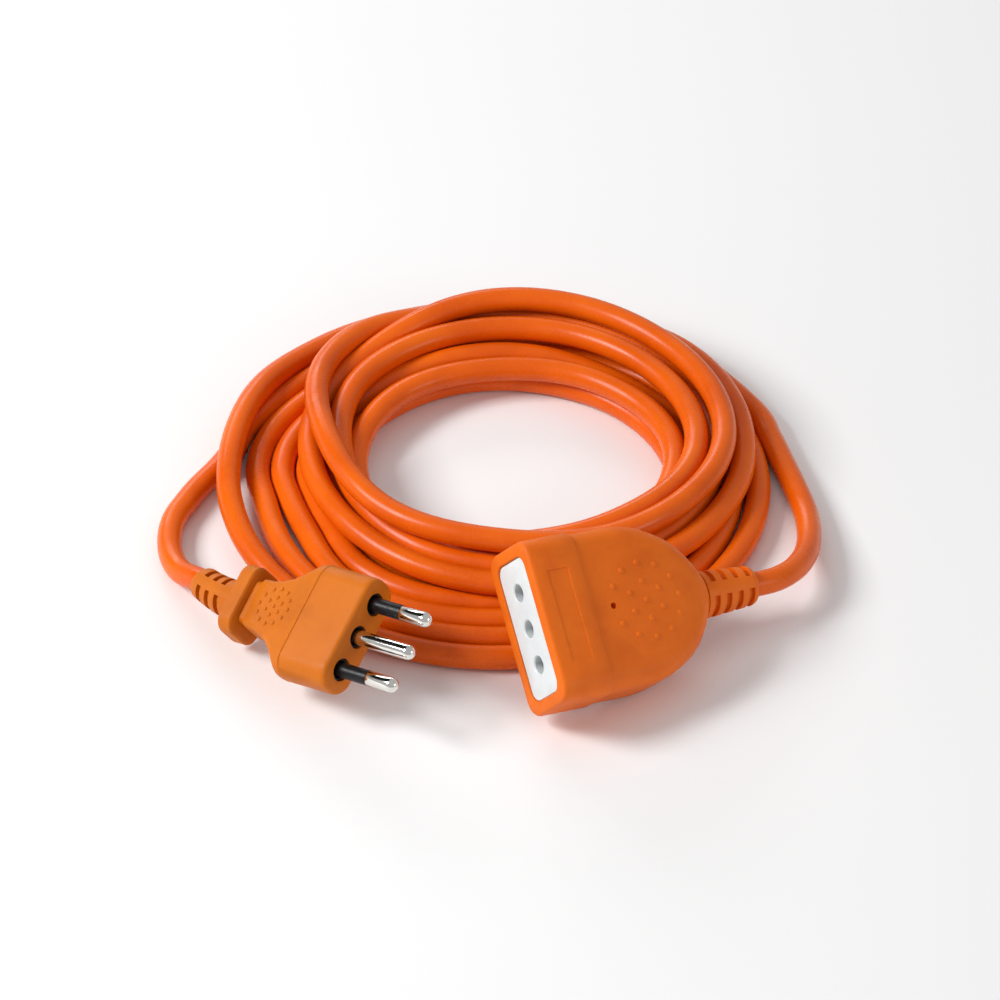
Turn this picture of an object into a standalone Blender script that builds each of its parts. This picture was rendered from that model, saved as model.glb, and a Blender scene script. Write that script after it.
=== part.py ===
"""Coiled extension lead: an in-line plug with three round pins, a ring of round cord and an in-line socket.

Metres, +Z up. The lead lies on the plane Z = 0, and the origin is under the middle of the whole object. The plug
and the socket are each built in a frame of their own, carried by an empty: X points out of the mating face, Y runs
along the row of pins or holes, and Z is square to the broad side.
"""

import math

import bmesh
import bpy
from mathutils import Euler, Matrix, Vector

MM = 0.001
FIT = 0.3 * MM

# The whole lead, with the middle of the coil as its reference.
COIL_CENTRE = Vector((0.98, 15.71, 0.0)) * MM
CORD_RADIUS = 3.2 * MM
COIL_OUTER_RADIUS = 72.5 * MM
COIL_INNER_RADIUS = 37.6 * MM
COIL_HEIGHT = 20.0 * MM

# Plug: where the middle of its face lies, and how it is turned (heading, nose up, rolled on its side).
PLUG_FACE = Vector((-34.05, -83.9, 20.55)) * MM
PLUG_HEADING = math.radians(-39.8)
PLUG_NOSE_UP = math.radians(14.2)
PLUG_ROLL = math.radians(31.8)
PIN_PITCH = 9.5 * MM
PIN_LENGTH = 19.0 * MM
PIN_RADIUS = 2.0 * MM
PIN_CORE_RADIUS = 1.35 * MM
SLEEVE_END = 9.6 * MM
SLEEVE_START = -6.0 * MM
SLEEVE_BORE = 1.62 * MM
BOSS_RADIUS = 2.9 * MM
BOSS_BORE = 2.3 * MM
CARRIER_FRONT = -4.0 * MM
CARRIER_BACK = -11.5 * MM
CARRIER_HALF_WIDTH = 13.4 * MM
CARRIER_HALF_THICKNESS = 4.2 * MM
PIN_TAIL = -17.0 * MM
PLUG_RELIEF_FLANGE = -40.5 * MM
PLUG_RELIEF_LENGTH = 15.5 * MM
PLUG_RELIEF_END = PLUG_RELIEF_FLANGE - PLUG_RELIEF_LENGTH
PLUG_RELIEF_BEND = math.radians(19)
PLUG_CORD_START = -36.2 * MM

# Socket: the same, for its white face.
SOCKET_FACE = Vector((8.67, -85.03, 24.1)) * MM
SOCKET_HEADING = math.radians(-151.7)
SOCKET_NOSE_UP = math.radians(10.0)
SOCKET_ROLL = math.radians(-39.5)
HOLE_RADIUS = 2.3 * MM
INSERT_HALF_LENGTH = 17.8 * MM
INSERT_HALF_WIDTH = 7.5 * MM
INSERT_FRONT = -0.4 * MM
INSERT_FACE_BACK = -2.8 * MM
INSERT_BACK = -20.0 * MM
INSERT_WALL = 1.1 * MM
SHUTTER_FRONT = -3.1 * MM
SHUTTER_BACK = -5.7 * MM
SHUTTER_LOW_END = -11.7 * MM
SHUTTER_HIGH_END = 12.0 * MM
SHUTTER_HALF_WIDTH = 6.0 * MM
SPRING_POST = (-3.0 * MM, -1.8 * MM)
SPRING_SLOT = (-3.3 * MM, 7.5 * MM)
SPRING_AXIS_Z = 4.4 * MM
SPRING_MEAN_RADIUS = 0.8 * MM
SPRING_WIRE_RADIUS = 0.17 * MM
SPRING_TURNS = 7
BLOCK_FRONT = -6.0 * MM
BLOCK_BACK = -26.0 * MM
BLOCK_BORE = 3.3 * MM
CONTACT_RADIUS = 3.0 * MM
CONTACT_BORE = 2.15 * MM
CONTACT_TAIL = -24.0 * MM
SOCKET_RELIEF_FLANGE = -50.3 * MM
SOCKET_RELIEF_END = -66.0 * MM
SOCKET_CORD_START = -45.5 * MM

CORE_RADIUS = 1.15 * MM
STRANDS_RADIUS = 0.6 * MM
LAY_RADIUS = 1.5 * MM

NAMES = ("line", "earth", "neutral")
ROW = (PIN_PITCH, 0.0, -PIN_PITCH)

# The free stretches of cord, by their own routes from the reliefs to the coil, relative to the coil's middle.
PLUG_ROUTE = (
    (-80.0, -39.6, 4.6),
    (-82.8, -32.0, 3.4),
    (-83.5, -24.6, 3.2),
    (-82.6, -17.2, 3.2),
    (-79.6, -10.2, 3.2),
    (-76.0, -3.6, 3.2),
)
SOCKET_ROUTE = (
    (72.4, -50.4, 11.4),
    (77.4, -43.8, 9.4),
    (80.6, -34.5, 6.8),
    (81.6, -24.5, 4.7),
    (80.9, -14.5, 3.5),
    (78.6, -5.0, 3.25),
    (76.3, 2.0, 3.25),
)


def clear_scene():
    for obj in list(bpy.data.objects):
        bpy.data.objects.remove(obj, do_unlink=True)


def new_collection(name, hidden=False):
    collection = bpy.data.collections.new(name)
    bpy.context.scene.collection.children.link(collection)
    collection.hide_render = hidden
    return collection


def material(name, colour, roughness, metallic=0.0):
    made = bpy.data.materials.new(name)
    made.use_nodes = True
    shader = made.node_tree.nodes["Principled BSDF"]
    shader.inputs["Base Color"].default_value = (*colour, 1.0)
    shader.inputs["Roughness"].default_value = roughness
    shader.inputs["Metallic"].default_value = metallic
    made.diffuse_color = (*colour, 1.0)
    return made


def place(obj, look, parent, collection):
    """Puts the object in its collection, under its parent, with its material."""
    collection.objects.link(obj)
    obj.parent = parent
    if look is not None:
        obj.data.materials.append(look)
    return obj


def smooth(obj, angle=40.0):
    obj.data.shade_smooth()
    obj.data.set_sharp_from_angle(angle=math.radians(angle))
    return obj


def mesh_object(name, bm):
    bmesh.ops.recalc_face_normals(bm, faces=bm.faces[:])
    mesh = bpy.data.meshes.new(name)
    bm.to_mesh(mesh)
    bm.free()
    return bpy.data.objects.new(name, mesh)


def box(name, x_range, y_range, z_range):
    """A plain box between pairs of limits."""
    low = Vector((min(x_range), min(y_range), min(z_range)))
    high = Vector((max(x_range), max(y_range), max(z_range)))
    bm = bmesh.new()
    bmesh.ops.create_cube(bm, size=1.0)
    bmesh.ops.scale(bm, vec=high - low, verts=bm.verts[:])
    bmesh.ops.translate(bm, vec=(low + high) / 2, verts=bm.verts[:])
    return mesh_object(name, bm)


def rod(name, radius, x_range, y=0.0, z=0.0, sides=24):
    """A cylinder along X between two limits."""
    low, high = min(x_range), max(x_range)
    bm = bmesh.new()
    bmesh.ops.create_cone(
        bm,
        cap_ends=True,
        segments=sides,
        radius1=radius,
        radius2=radius,
        depth=high - low,
        matrix=Matrix.Translation(((low + high) / 2, y, z)) @ Matrix.Rotation(math.pi / 2, 4, "Y"),
    )
    return mesh_object(name, bm)


def rounded_rectangle(x, half_width, half_height, radius, per_corner=6):
    """Points round a rectangle with round corners, in the plane at this X."""
    radius = min(radius, half_width * 0.999, half_height * 0.999)
    points = []
    for corner in range(4):
        side_y = (1, -1, -1, 1)[corner]
        side_z = (1, 1, -1, -1)[corner]
        for step in range(per_corner):
            angle = (corner + step / (per_corner - 1)) * math.pi / 2
            y = side_y * (half_width - radius) + radius * math.cos(angle)
            z = side_z * (half_height - radius) + radius * math.sin(angle)
            points.append(Vector((x, y, z)))
    return points


def lofted(name, sections, per_corner=6):
    """A closed body through sections of (x, half width, half thickness, corner radius), all in millimetres."""
    bm = bmesh.new()
    rings = []
    for section in sections:
        points = rounded_rectangle(*(value * MM for value in section), per_corner)
        rings.append([bm.verts.new(point) for point in points])
    for ring, following in zip(rings, rings[1:]):
        for index in range(len(ring)):
            after = (index + 1) % len(ring)
            bm.faces.new((ring[index], ring[after], following[after], following[index]))
    bm.faces.new(rings[0])
    bm.faces.new(list(reversed(rings[-1])))
    return mesh_object(name, bm)


def turned(name, profile, steps=24):
    """A piece turned about its own X from (radius, x) points whose outer side runs from high x to low x."""
    bm = bmesh.new()
    points = [bm.verts.new((radius, 0.0, height)) for radius, height in profile]
    for first, second in zip(points, points[1:]):
        bm.edges.new((first, second))
    if profile[0][0] > 0.0:
        bm.edges.new((points[-1], points[0]))
    mesh = bpy.data.meshes.new(name)
    bm.to_mesh(mesh)
    bm.free()
    obj = bpy.data.objects.new(name, mesh)
    obj.rotation_euler = (0.0, math.pi / 2, 0.0)
    screw = obj.modifiers.new("turned", "SCREW")
    screw.steps = steps
    screw.render_steps = steps
    screw.use_merge_vertices = True
    screw.merge_threshold = 0.00001
    screw.use_smooth_shade = True
    return obj


def applied(obj):
    """The object's evaluated mesh as a plain mesh object, which replaces it."""
    bpy.context.view_layer.update()
    graph = bpy.context.evaluated_depsgraph_get()
    mesh = bpy.data.meshes.new_from_object(obj.evaluated_get(graph))
    bm = bmesh.new()
    bm.from_mesh(mesh)
    bmesh.ops.remove_doubles(bm, verts=bm.verts[:], dist=0.000002)
    bmesh.ops.recalc_face_normals(bm, faces=bm.faces[:])
    bm.to_mesh(mesh)
    bm.free()
    name = obj.name
    rotation = obj.rotation_euler.copy()
    bpy.data.objects.remove(obj, do_unlink=True)
    made = bpy.data.objects.new(name, mesh)
    made.rotation_euler = rotation
    return made


def smooth_route(points, spacing):
    """Points at an even spacing along a smooth curve through the given ones."""
    points = [Vector(point) for point in points]
    ends = [2 * points[0] - points[1], *points, 2 * points[-1] - points[-2]]
    fine = []
    for index in range(len(points) - 1):
        before, start, stop, after = ends[index : index + 4]
        for step in range(40):
            t = step / 40
            fine.append(
                0.5
                * (
                    2 * start
                    + (stop - before) * t
                    + (2 * before - 5 * start + 4 * stop - after) * t**2
                    + (3 * start - before - 3 * stop + after) * t**3
                )
            )
    fine.append(points[-1])
    lengths = [0.0]
    for first, second in zip(fine, fine[1:]):
        lengths.append(lengths[-1] + (second - first).length)
    count = max(2, round(lengths[-1] / spacing))
    result = []
    place_on = 0
    for step in range(count + 1):
        wanted = lengths[-1] * step / count
        while place_on < len(fine) - 2 and lengths[place_on + 1] < wanted:
            place_on += 1
        span = lengths[place_on + 1] - lengths[place_on]
        share = (wanted - lengths[place_on]) / span if span else 0.0
        result.append(fine[place_on].lerp(fine[place_on + 1], min(max(share, 0.0), 1.0)))
    return result


def tube(name, points, radius, resolution=2):
    """A round wire through the points, with flat ends."""
    curve = bpy.data.curves.new(name, "CURVE")
    curve.dimensions = "3D"
    curve.bevel_depth = radius
    curve.bevel_resolution = resolution
    curve.use_fill_caps = True
    curve.twist_mode = "MINIMUM"
    spline = curve.splines.new("POLY")
    spline.points.add(len(points) - 1)
    for point, place_at in zip(spline.points, points):
        point.co = (*place_at, 1.0)
    return bpy.data.objects.new(name, curve)


def welded_tube(name, points, radius, resolution=2):
    return applied(tube(name, points, radius, resolution))


def boolean(obj, other, operation="DIFFERENCE"):
    modifier = obj.modifiers.new(operation.lower(), "BOOLEAN")
    modifier.operation = operation
    modifier.solver = "EXACT"
    modifier.object = other
    return obj


def cutter(obj, parent, cutters):
    cutters.objects.link(obj)
    obj.parent = parent
    obj.hide_render = True
    obj.display_type = "WIRE"
    return obj


def frame_empty(name, location, nose_up, roll, heading, parent, collection):
    """An empty whose X points out of the mating face."""
    empty = bpy.data.objects.new(name, None)
    empty.empty_display_size = 10 * MM
    empty.location = location
    empty.rotation_euler = (roll, -nose_up, heading)
    empty.parent = parent
    collection.objects.link(empty)
    return empty


def slotted_relief(name, front, end, front_radius, end_radius, spigot, slots, look, parent, parts, cutters):
    """A bend relief: a tapered sleeve with ring slots on both edges and an unbroken rib on each broad side."""
    bore = CORD_RADIUS + FIT
    spigot_radius, spigot_front = spigot
    length = front - end
    first_slot, pitch, slot_width, slot_depth = slots

    def radius_at(x):
        return front_radius + (end_radius - front_radius) * (front - x) / length

    outline = [(bore, spigot_front), (spigot_radius, spigot_front), (spigot_radius, front)]
    outline.append((radius_at(front), front))
    grooved = list(outline)
    centre = front - first_slot
    while centre - slot_width / 2 > end + 1.2 * MM:
        top = centre + slot_width / 2
        low = centre - slot_width / 2
        depth = radius_at(centre) - slot_depth
        grooved += [(radius_at(top), top), (depth, top), (depth, low), (radius_at(low), low)]
        centre -= pitch
    rim = [(radius_at(end), end + 0.8 * MM), (radius_at(end) - 0.5 * MM, end), (bore, end)]
    stations = 8
    inside = [(bore, end + (front - end) * station / stations) for station in range(1, stations + 1)]
    grooved += [*rim, *inside]
    plain = [(bore + 0.01 * MM, spigot_front - 1.0 * MM), (spigot_radius - 0.05 * MM, spigot_front - 1.0 * MM)]
    plain += [(spigot_radius - 0.05 * MM, front - 0.05 * MM), (radius_at(front) - 0.02 * MM, front - 0.05 * MM)]
    plain += [(radius_at(end) - 0.02 * MM, end + 0.85 * MM), (bore + 0.01 * MM, end + 0.85 * MM)]
    ribs = cutter(turned(name + "_rib_stock", plain, 24), parent, cutters)
    slab = box(name + "_rib_slab", (front + 1 * MM, end - 1 * MM), (-1.35 * MM, 1.35 * MM), (-20 * MM, 20 * MM))
    boolean(ribs, cutter(slab, parent, cutters), "INTERSECT")
    relief = place(turned(name, grooved, 24), look, parent, parts)
    return boolean(relief, ribs, "UNION")


def relief_middle(distance):
    """The middle of the plug's bend relief, that far along it from the flange, and how far it has turned there."""
    radius = PLUG_RELIEF_LENGTH / PLUG_RELIEF_BEND
    turned_by = distance / radius
    x = PLUG_RELIEF_FLANGE - radius * math.sin(turned_by)
    return Vector((x, radius * (1 - math.cos(turned_by)), 0.0)), turned_by


def bend_relief(relief, look, parent, parts):
    """Bends the plug's finished relief sideways from its flange on, the way the cord pulls it."""
    relief = place(applied(relief), look, parent, parts)
    turn = relief.rotation_euler.to_matrix()
    for vertex in relief.data.vertices:
        point = turn @ vertex.co
        distance = PLUG_RELIEF_FLANGE - point.x
        if distance > 0.0:
            middle, turned_by = relief_middle(distance)
            across = Vector((math.sin(turned_by), math.cos(turned_by), 0.0)) * point.y
            vertex.co = turn.inverted() @ (middle + across + Vector((0.0, 0.0, point.z)))


def build_plug(looks, parent, parts, cutters):
    body = lofted(
        "plug_body",
        (
            (0.0, 15.2, 5.2, 4.5),
            (-0.8, 15.9, 5.9, 5.1),
            (-2.0, 16.0, 6.0, 5.2),
            (-15.8, 16.0, 6.0, 5.2),
            (-17.6, 15.9, 5.95, 5.1),
            (-18.6, 15.2, 5.85, 4.7),
            (-20.0, 13.4, 5.7, 3.8),
            (-22.0, 11.1, 5.5, 2.9),
            (-24.5, 9.1, 5.3, 2.3),
            (-27.0, 7.9, 5.15, 2.0),
            (-30.0, 7.1, 5.05, 1.9),
            (-33.6, 6.7, 5.0, 1.9),
            (-34.0, 6.2, 4.6, 1.8),
            (-35.2, 6.2, 4.6, 1.8),
            (-35.7, 9.0, 6.1, 4.9),
            (-36.3, 9.6, 6.5, 5.2),
            (-39.6, 9.6, 6.5, 5.2),
            (-40.2, 9.1, 6.0, 4.9),
        ),
    )
    hollow = lofted(
        "plug_hollow",
        (
            (-3.7, 13.7, 4.5, 1.0),
            (-12.5, 13.7, 4.5, 1.0),
            (-17.5, 12.4, 4.3, 1.4),
            (-20.0, 11.0, 4.1, 1.8),
            (-23.0, 9.0, 4.0, 2.2),
            (-27.0, 6.8, 3.8, 2.8),
            (-31.0, 5.3, 3.7, 3.4),
            (-36.3, 4.4, 3.8, 3.6),
            (-36.4, 4.6, 4.6, 4.6),
            (-42.0, 4.6, 4.6, 4.6),
        ),
    )
    place(smooth(body), looks["plug"], parent, parts)
    boolean(body, cutter(hollow, parent, cutters))
    for name, y in zip(NAMES, ROW):
        hole = rod("plug_boss_hole_" + name, BOSS_RADIUS + FIT, (CARRIER_FRONT - FIT, 1 * MM), y)
        boolean(body, cutter(hole, parent, cutters))
    spigot = (4.3 * MM, -36.7 * MM)
    slots = (4.4 * MM, 3.55 * MM, 1.6 * MM, 1.0 * MM)
    relief = slotted_relief(
        "plug_strain_relief",
        PLUG_RELIEF_FLANGE,
        PLUG_RELIEF_END,
        5.5 * MM,
        4.3 * MM,
        spigot,
        slots,
        looks["plug"],
        parent,
        parts,
        cutters,
    )
    bend_relief(relief, looks["plug"], parent, parts)
    carrier = box(
        "plug_pin_carrier",
        (CARRIER_BACK, CARRIER_FRONT),
        (-CARRIER_HALF_WIDTH, CARRIER_HALF_WIDTH),
        (-CARRIER_HALF_THICKNESS, CARRIER_HALF_THICKNESS),
    )
    place(carrier, looks["carrier"], parent, parts)
    for name, y in zip(NAMES, ROW):
        boss = rod("plug_boss_" + name, BOSS_RADIUS, (CARRIER_FRONT - 1 * MM, 0.0), y)
        boolean(carrier, cutter(boss, parent, cutters), "UNION")
    for name, y in zip(NAMES, ROW):
        bore = rod("plug_pin_bore_" + name, BOSS_BORE, (CARRIER_BACK - 1 * MM, 1 * MM), y)
        boolean(carrier, cutter(bore, parent, cutters))
    for name, y in zip(NAMES, ROW):
        sleeved = name != "earth"
        pin = place(turned("plug_pin_" + name, pin_profile(sleeved), 16), looks["pin"], parent, parts)
        pin.location = (0.0, y, 0.0)
        if sleeved:
            outline = [
                (SLEEVE_BORE, SLEEVE_END),
                (PIN_RADIUS, SLEEVE_END),
                (PIN_RADIUS, SLEEVE_START),
                (SLEEVE_BORE, SLEEVE_START),
            ]
            sleeve = place(turned("plug_sleeve_" + name, outline, 16), looks["sleeve"], parent, parts)
            sleeve.location = (0.0, y, 0.0)
        add_core("plug", name, y, PIN_TAIL, PLUG_CORD_START, looks, parent, parts)


def pin_profile(sleeved):
    """Half outline of a pin: domed tip, shank, and a crimp barrel open at its tail."""
    profile = []
    dome = 1.2 * MM
    for step in range(5):
        angle = step / 4 * math.pi / 2
        radius = (PIN_RADIUS - dome) + dome * math.sin(angle) if step else 0.0
        profile.append((radius, PIN_LENGTH - dome + dome * math.cos(angle)))
    if sleeved:
        profile += [(PIN_RADIUS, SLEEVE_END + FIT), (PIN_CORE_RADIUS, SLEEVE_END + FIT)]
        profile += [(PIN_CORE_RADIUS, SLEEVE_START - FIT), (PIN_RADIUS, SLEEVE_START - FIT)]
    profile += [(PIN_RADIUS, PIN_TAIL), (1.0 * MM, PIN_TAIL)]
    profile += [(1.0 * MM, PIN_TAIL + 4 * MM), (0.0, PIN_TAIL + 4.4 * MM)]
    return profile


def add_core(unit, name, y, tail, cord_start, looks, parent, parts):
    """The bared strands in a crimp, and the insulated core from there to the end of the sheath."""
    end_y = math.copysign(LAY_RADIUS, y) * 0.87 if y else 0.0
    end_z = LAY_RADIUS / 2 if y else -LAY_RADIUS
    inner = tail + 3.6 * MM
    strands = rod(f"{unit}_strands_{name}", STRANDS_RADIUS, (tail - 0.2 * MM, inner), y, sides=8)
    place(strands, looks["copper"], parent, parts)
    start = tail - 0.5 * MM
    end = cord_start + FIT
    span = start - end
    route = [
        (start, y, 0.0),
        (start - 0.15 * span, y * 0.88, end_z * 0.05),
        (start - 0.35 * span, y * 0.55 + end_y * 0.15, end_z * 0.3),
        (start - 0.60 * span, y * 0.18 + end_y * 0.65, end_z * 0.8),
        (start - 0.80 * span, end_y * 1.05, end_z),
        (end, end_y, end_z),
    ]
    core = welded_tube(f"{unit}_core_{name}", smooth_route(route, 1.9 * MM), CORE_RADIUS)
    return place(smooth(core), looks["core_" + name], parent, parts)


def build_socket(looks, parent, parts, cutters):
    body = lofted(
        "connector_body",
        (
            (0.0, 20.6, 10.2, 4.2),
            (-0.6, 21.1, 10.7, 4.6),
            (-1.6, 21.4, 11.0, 4.8),
            (-13.9, 21.4, 11.0, 4.8),
            (-14.3, 21.0, 10.4, 4.5),
            (-26.0, 20.9, 10.3, 4.5),
            (-30.0, 20.4, 10.2, 4.6),
            (-34.0, 19.4, 10.0, 4.8),
            (-38.0, 17.6, 9.7, 5.2),
            (-41.0, 15.9, 9.4, 5.4),
            (-43.5, 14.0, 9.0, 5.7),
            (-45.5, 12.0, 8.6, 6.0),
            (-47.2, 10.0, 8.1, 6.3),
            (-48.5, 8.2, 7.5, 6.6),
            (-49.4, 7.0, 6.9, 6.6),
            (-50.0, 6.3, 6.3, 6.3),
        ),
    )
    hollow = lofted(
        "connector_hollow",
        (
            (1.0, 18.1, 7.8, 3.3),
            (-21.0, 18.1, 7.8, 3.3),
            (-27.0, 17.4, 7.6, 3.3),
            (-31.0, 15.6, 7.2, 3.3),
            (-35.0, 12.6, 6.8, 3.6),
            (-39.0, 9.0, 6.2, 3.8),
            (-43.0, 6.0, 5.2, 4.0),
            (-45.5, 5.0, 4.6, 4.2),
            (-45.6, 4.9, 4.9, 4.9),
            (-52.0, 4.9, 4.9, 4.9),
        ),
    )
    place(smooth(body), looks["socket"], parent, parts)
    boolean(body, cutter(hollow, parent, cutters))
    slotted_relief(
        "connector_strain_relief",
        SOCKET_RELIEF_FLANGE,
        SOCKET_RELIEF_END,
        6.3 * MM,
        5.1 * MM,
        (4.6 * MM, -45.9 * MM),
        (2.4 * MM, 3.6 * MM, 1.6 * MM, 1.2 * MM),
        looks["socket"],
        parent,
        parts,
        cutters,
    )
    build_insert(looks, parent, parts, cutters)
    build_shutter(looks, parent, parts, cutters)
    build_block(looks, parent, parts, cutters)
    for name, y in zip(NAMES, (-ROW[0], ROW[1], -ROW[2])):
        contact = place(turned("connector_contact_" + name, contact_profile(), 16), looks["contact"], parent, parts)
        contact.location = (0.0, y, 0.0)
        slit = box(
            "connector_contact_slit_" + name,
            (BLOCK_FRONT - 9.0 * MM, BLOCK_FRONT + 1 * MM),
            (y - 4 * MM, y + 4 * MM),
            (-0.35 * MM, 0.35 * MM),
        )
        boolean(contact, cutter(slit, parent, cutters))
        add_core("connector", name, y, CONTACT_TAIL, SOCKET_CORD_START, looks, parent, parts)


def build_insert(looks, parent, parts, cutters):
    """The white face: a cap with three holes, open at the back."""
    half_length = INSERT_HALF_LENGTH / MM
    half_width = INSERT_HALF_WIDTH / MM
    wall = INSERT_WALL / MM
    insert = lofted(
        "connector_face_insert",
        (
            (INSERT_FRONT / MM, half_length - 0.4, half_width - 0.4, 2.6),
            (INSERT_FRONT / MM - 0.4, half_length, half_width, 3.0),
            (INSERT_BACK / MM, half_length, half_width, 3.0),
        ),
        5,
    )
    hollow = lofted(
        "connector_insert_hollow",
        (
            (INSERT_FACE_BACK / MM, half_length - wall, half_width - wall, 0.5),
            (INSERT_BACK / MM - 1.0, half_length - wall, half_width - wall, 0.5),
        ),
        2,
    )
    place(smooth(insert), looks["insert"], parent, parts)
    boolean(insert, cutter(hollow, parent, cutters))
    for name, y in zip(NAMES, ROW):
        hole = rod("connector_hole_" + name, HOLE_RADIUS, (INSERT_FACE_BACK - 1 * MM, 1 * MM), y, sides=20)
        boolean(insert, cutter(hole, parent, cutters))


def build_shutter(looks, parent, parts, cutters):
    """The sliding plate behind the face. It moves along -Y until its windows stand behind the holes."""
    shutter = box(
        "connector_shutter",
        (SHUTTER_BACK, SHUTTER_FRONT),
        (SHUTTER_LOW_END, SHUTTER_HIGH_END),
        (-SHUTTER_HALF_WIDTH, SHUTTER_HALF_WIDTH),
    )
    place(shutter, looks["shutter"], parent, parts)
    for side in (-1, 1):
        window = rod(
            f"shutter_window_{side + 1}",
            2.4 * MM,
            (SHUTTER_BACK - 1 * MM, SHUTTER_FRONT + 1 * MM),
            side * PIN_PITCH / 2,
            sides=20,
        )
        boolean(shutter, cutter(window, parent, cutters))
    slot = box(
        "shutter_spring_slot",
        (SHUTTER_BACK - 1 * MM, SHUTTER_FRONT + 1 * MM),
        SPRING_SLOT,
        (SPRING_AXIS_Z - 1.2 * MM, SPRING_AXIS_Z + 1.2 * MM),
    )
    boolean(shutter, cutter(slot, parent, cutters))
    for label, start, stop in (("low", -11.2 * MM, -6.0 * MM), ("high", 7.9 * MM, 13.0 * MM)):
        ramp = ramp_cutter("shutter_ramp_" + label, start, stop)
        boolean(shutter, cutter(ramp, parent, cutters))
    spring_points = []
    first = SPRING_POST[1] + FIT + SPRING_WIRE_RADIUS
    last = SPRING_SLOT[1] - FIT - SPRING_WIRE_RADIUS
    steps = SPRING_TURNS * 10
    for step in range(steps + 1):
        share = step / steps
        angle = 2 * math.pi * SPRING_TURNS * share
        spring_points.append(
            (
                (SHUTTER_FRONT + SHUTTER_BACK) / 2 + SPRING_MEAN_RADIUS * math.cos(angle),
                first + (last - first) * share,
                SPRING_AXIS_Z + SPRING_MEAN_RADIUS * math.sin(angle),
            )
        )
    spring = welded_tube("connector_shutter_spring", spring_points, SPRING_WIRE_RADIUS, 1)
    place(smooth(spring), looks["spring"], parent, parts)


def ramp_cutter(name, start, stop):
    """A wedge that slopes the plate's front from its full height at the start to 1.9 mm down at the stop."""
    wedge = box(
        name,
        (SHUTTER_FRONT, SHUTTER_FRONT + 1 * MM),
        (start, stop),
        (-2.6 * MM, 2.6 * MM),
    )
    for vertex in wedge.data.vertices:
        if vertex.co.x < SHUTTER_FRONT + 0.5 * MM and vertex.co.y > (start + stop) / 2:
            vertex.co.x = SHUTTER_FRONT - 1.9 * MM
    return wedge


def build_block(looks, parent, parts, cutters):
    """The carrier of the contacts, with the post that the shutter's spring pushes against."""
    half_length = INSERT_HALF_LENGTH - INSERT_WALL - FIT
    half_width = INSERT_HALF_WIDTH - INSERT_WALL - FIT
    block = box(
        "connector_contact_block",
        (BLOCK_BACK, BLOCK_FRONT),
        (-half_length, half_length),
        (-half_width, half_width),
    )
    place(block, looks["block"], parent, parts)
    post = box(
        "connector_spring_post",
        (BLOCK_FRONT - 1 * MM, SHUTTER_FRONT - 0.3 * MM),
        SPRING_POST,
        (SPRING_AXIS_Z - 0.9 * MM, SPRING_AXIS_Z + 0.9 * MM),
    )
    boolean(block, cutter(post, parent, cutters), "UNION")
    for name, y in zip(NAMES, ROW):
        bore = rod("connector_block_bore_" + name, BLOCK_BORE, (BLOCK_BACK - 1 * MM, BLOCK_FRONT + 1 * MM), y)
        boolean(block, cutter(bore, parent, cutters))


def contact_profile():
    """Half outline of a tube contact: its mouth takes a pin, and its tail is a crimp barrel."""
    mouth = BLOCK_FRONT - 0.5 * MM
    floor = -19.5 * MM
    return [
        (0.0, floor + 0.6 * MM),
        (CONTACT_BORE, floor + 0.6 * MM),
        (CONTACT_BORE, mouth),
        (CONTACT_RADIUS, mouth),
        (CONTACT_RADIUS, floor),
        (1.8 * MM, floor - 0.6 * MM),
        (1.8 * MM, CONTACT_TAIL),
        (1.0 * MM, CONTACT_TAIL),
        (1.0 * MM, CONTACT_TAIL + 4.0 * MM),
        (0.0, CONTACT_TAIL + 4.0 * MM),
    ]


def build_coil(looks, parent, parts):
    """The outer shape of the wound cord: one strand high at its rim, three strands high nearer its eye."""
    inner = COIL_INNER_RADIUS
    outer = COIL_OUTER_RADIUS
    high = COIL_HEIGHT
    profile = [
        (inner + 1.0 * MM, high - 4.6 * MM),
        (inner + 4.0 * MM, high - 1.2 * MM),
        (inner + 8.0 * MM, high),
        (inner + 13.0 * MM, high - 0.6 * MM),
        (inner + 17.5 * MM, high - 5.0 * MM),
        (inner + 20.5 * MM, 11.5 * MM),
        (inner + 23.5 * MM, 7.4 * MM),
        (outer - 2.4 * MM, 6.4 * MM),
        (outer - 0.6 * MM, 5.0 * MM),
        (outer, 3.2 * MM),
        (outer - 0.6 * MM, 1.4 * MM),
        (outer - 2.4 * MM, 0.0),
        (inner + 2.4 * MM, 0.0),
        (inner + 0.6 * MM, 1.4 * MM),
        (inner, 3.4 * MM),
        (inner, high - 8.0 * MM),
    ]
    coil = turned("cord_coil", profile, 48)
    coil.rotation_euler = (0.0, 0.0, 0.0)
    return place(coil, looks["cord"], parent, parts)


def build_leads(looks, root, plug, socket, parts):
    """The two free stretches of cord, each from inside its relief to the rim of the coil."""
    bent = [relief_middle(PLUG_RELIEF_LENGTH * share)[0] for share in (0.0, 0.5, 1.0)]
    straight = [Vector((x, 0.0, 0.0)) for x in (SOCKET_RELIEF_FLANGE, SOCKET_RELIEF_END)]
    for name, frame, start, inside, route in (
        ("cord_plug_lead", plug, PLUG_CORD_START, bent, PLUG_ROUTE),
        ("cord_connector_lead", socket, SOCKET_CORD_START, straight, SOCKET_ROUTE),
    ):
        turn = Euler(frame.rotation_euler).to_matrix()
        held = [frame.location + turn @ point for point in (Vector((start, 0.0, 0.0)), *inside)]
        outside = [Vector(point) * MM for point in route]
        points = smooth_route([*held, *outside], 4.5 * MM)
        place(smooth(welded_tube(name, points, CORD_RADIUS, 3)), looks["cord"], root, parts)


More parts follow.
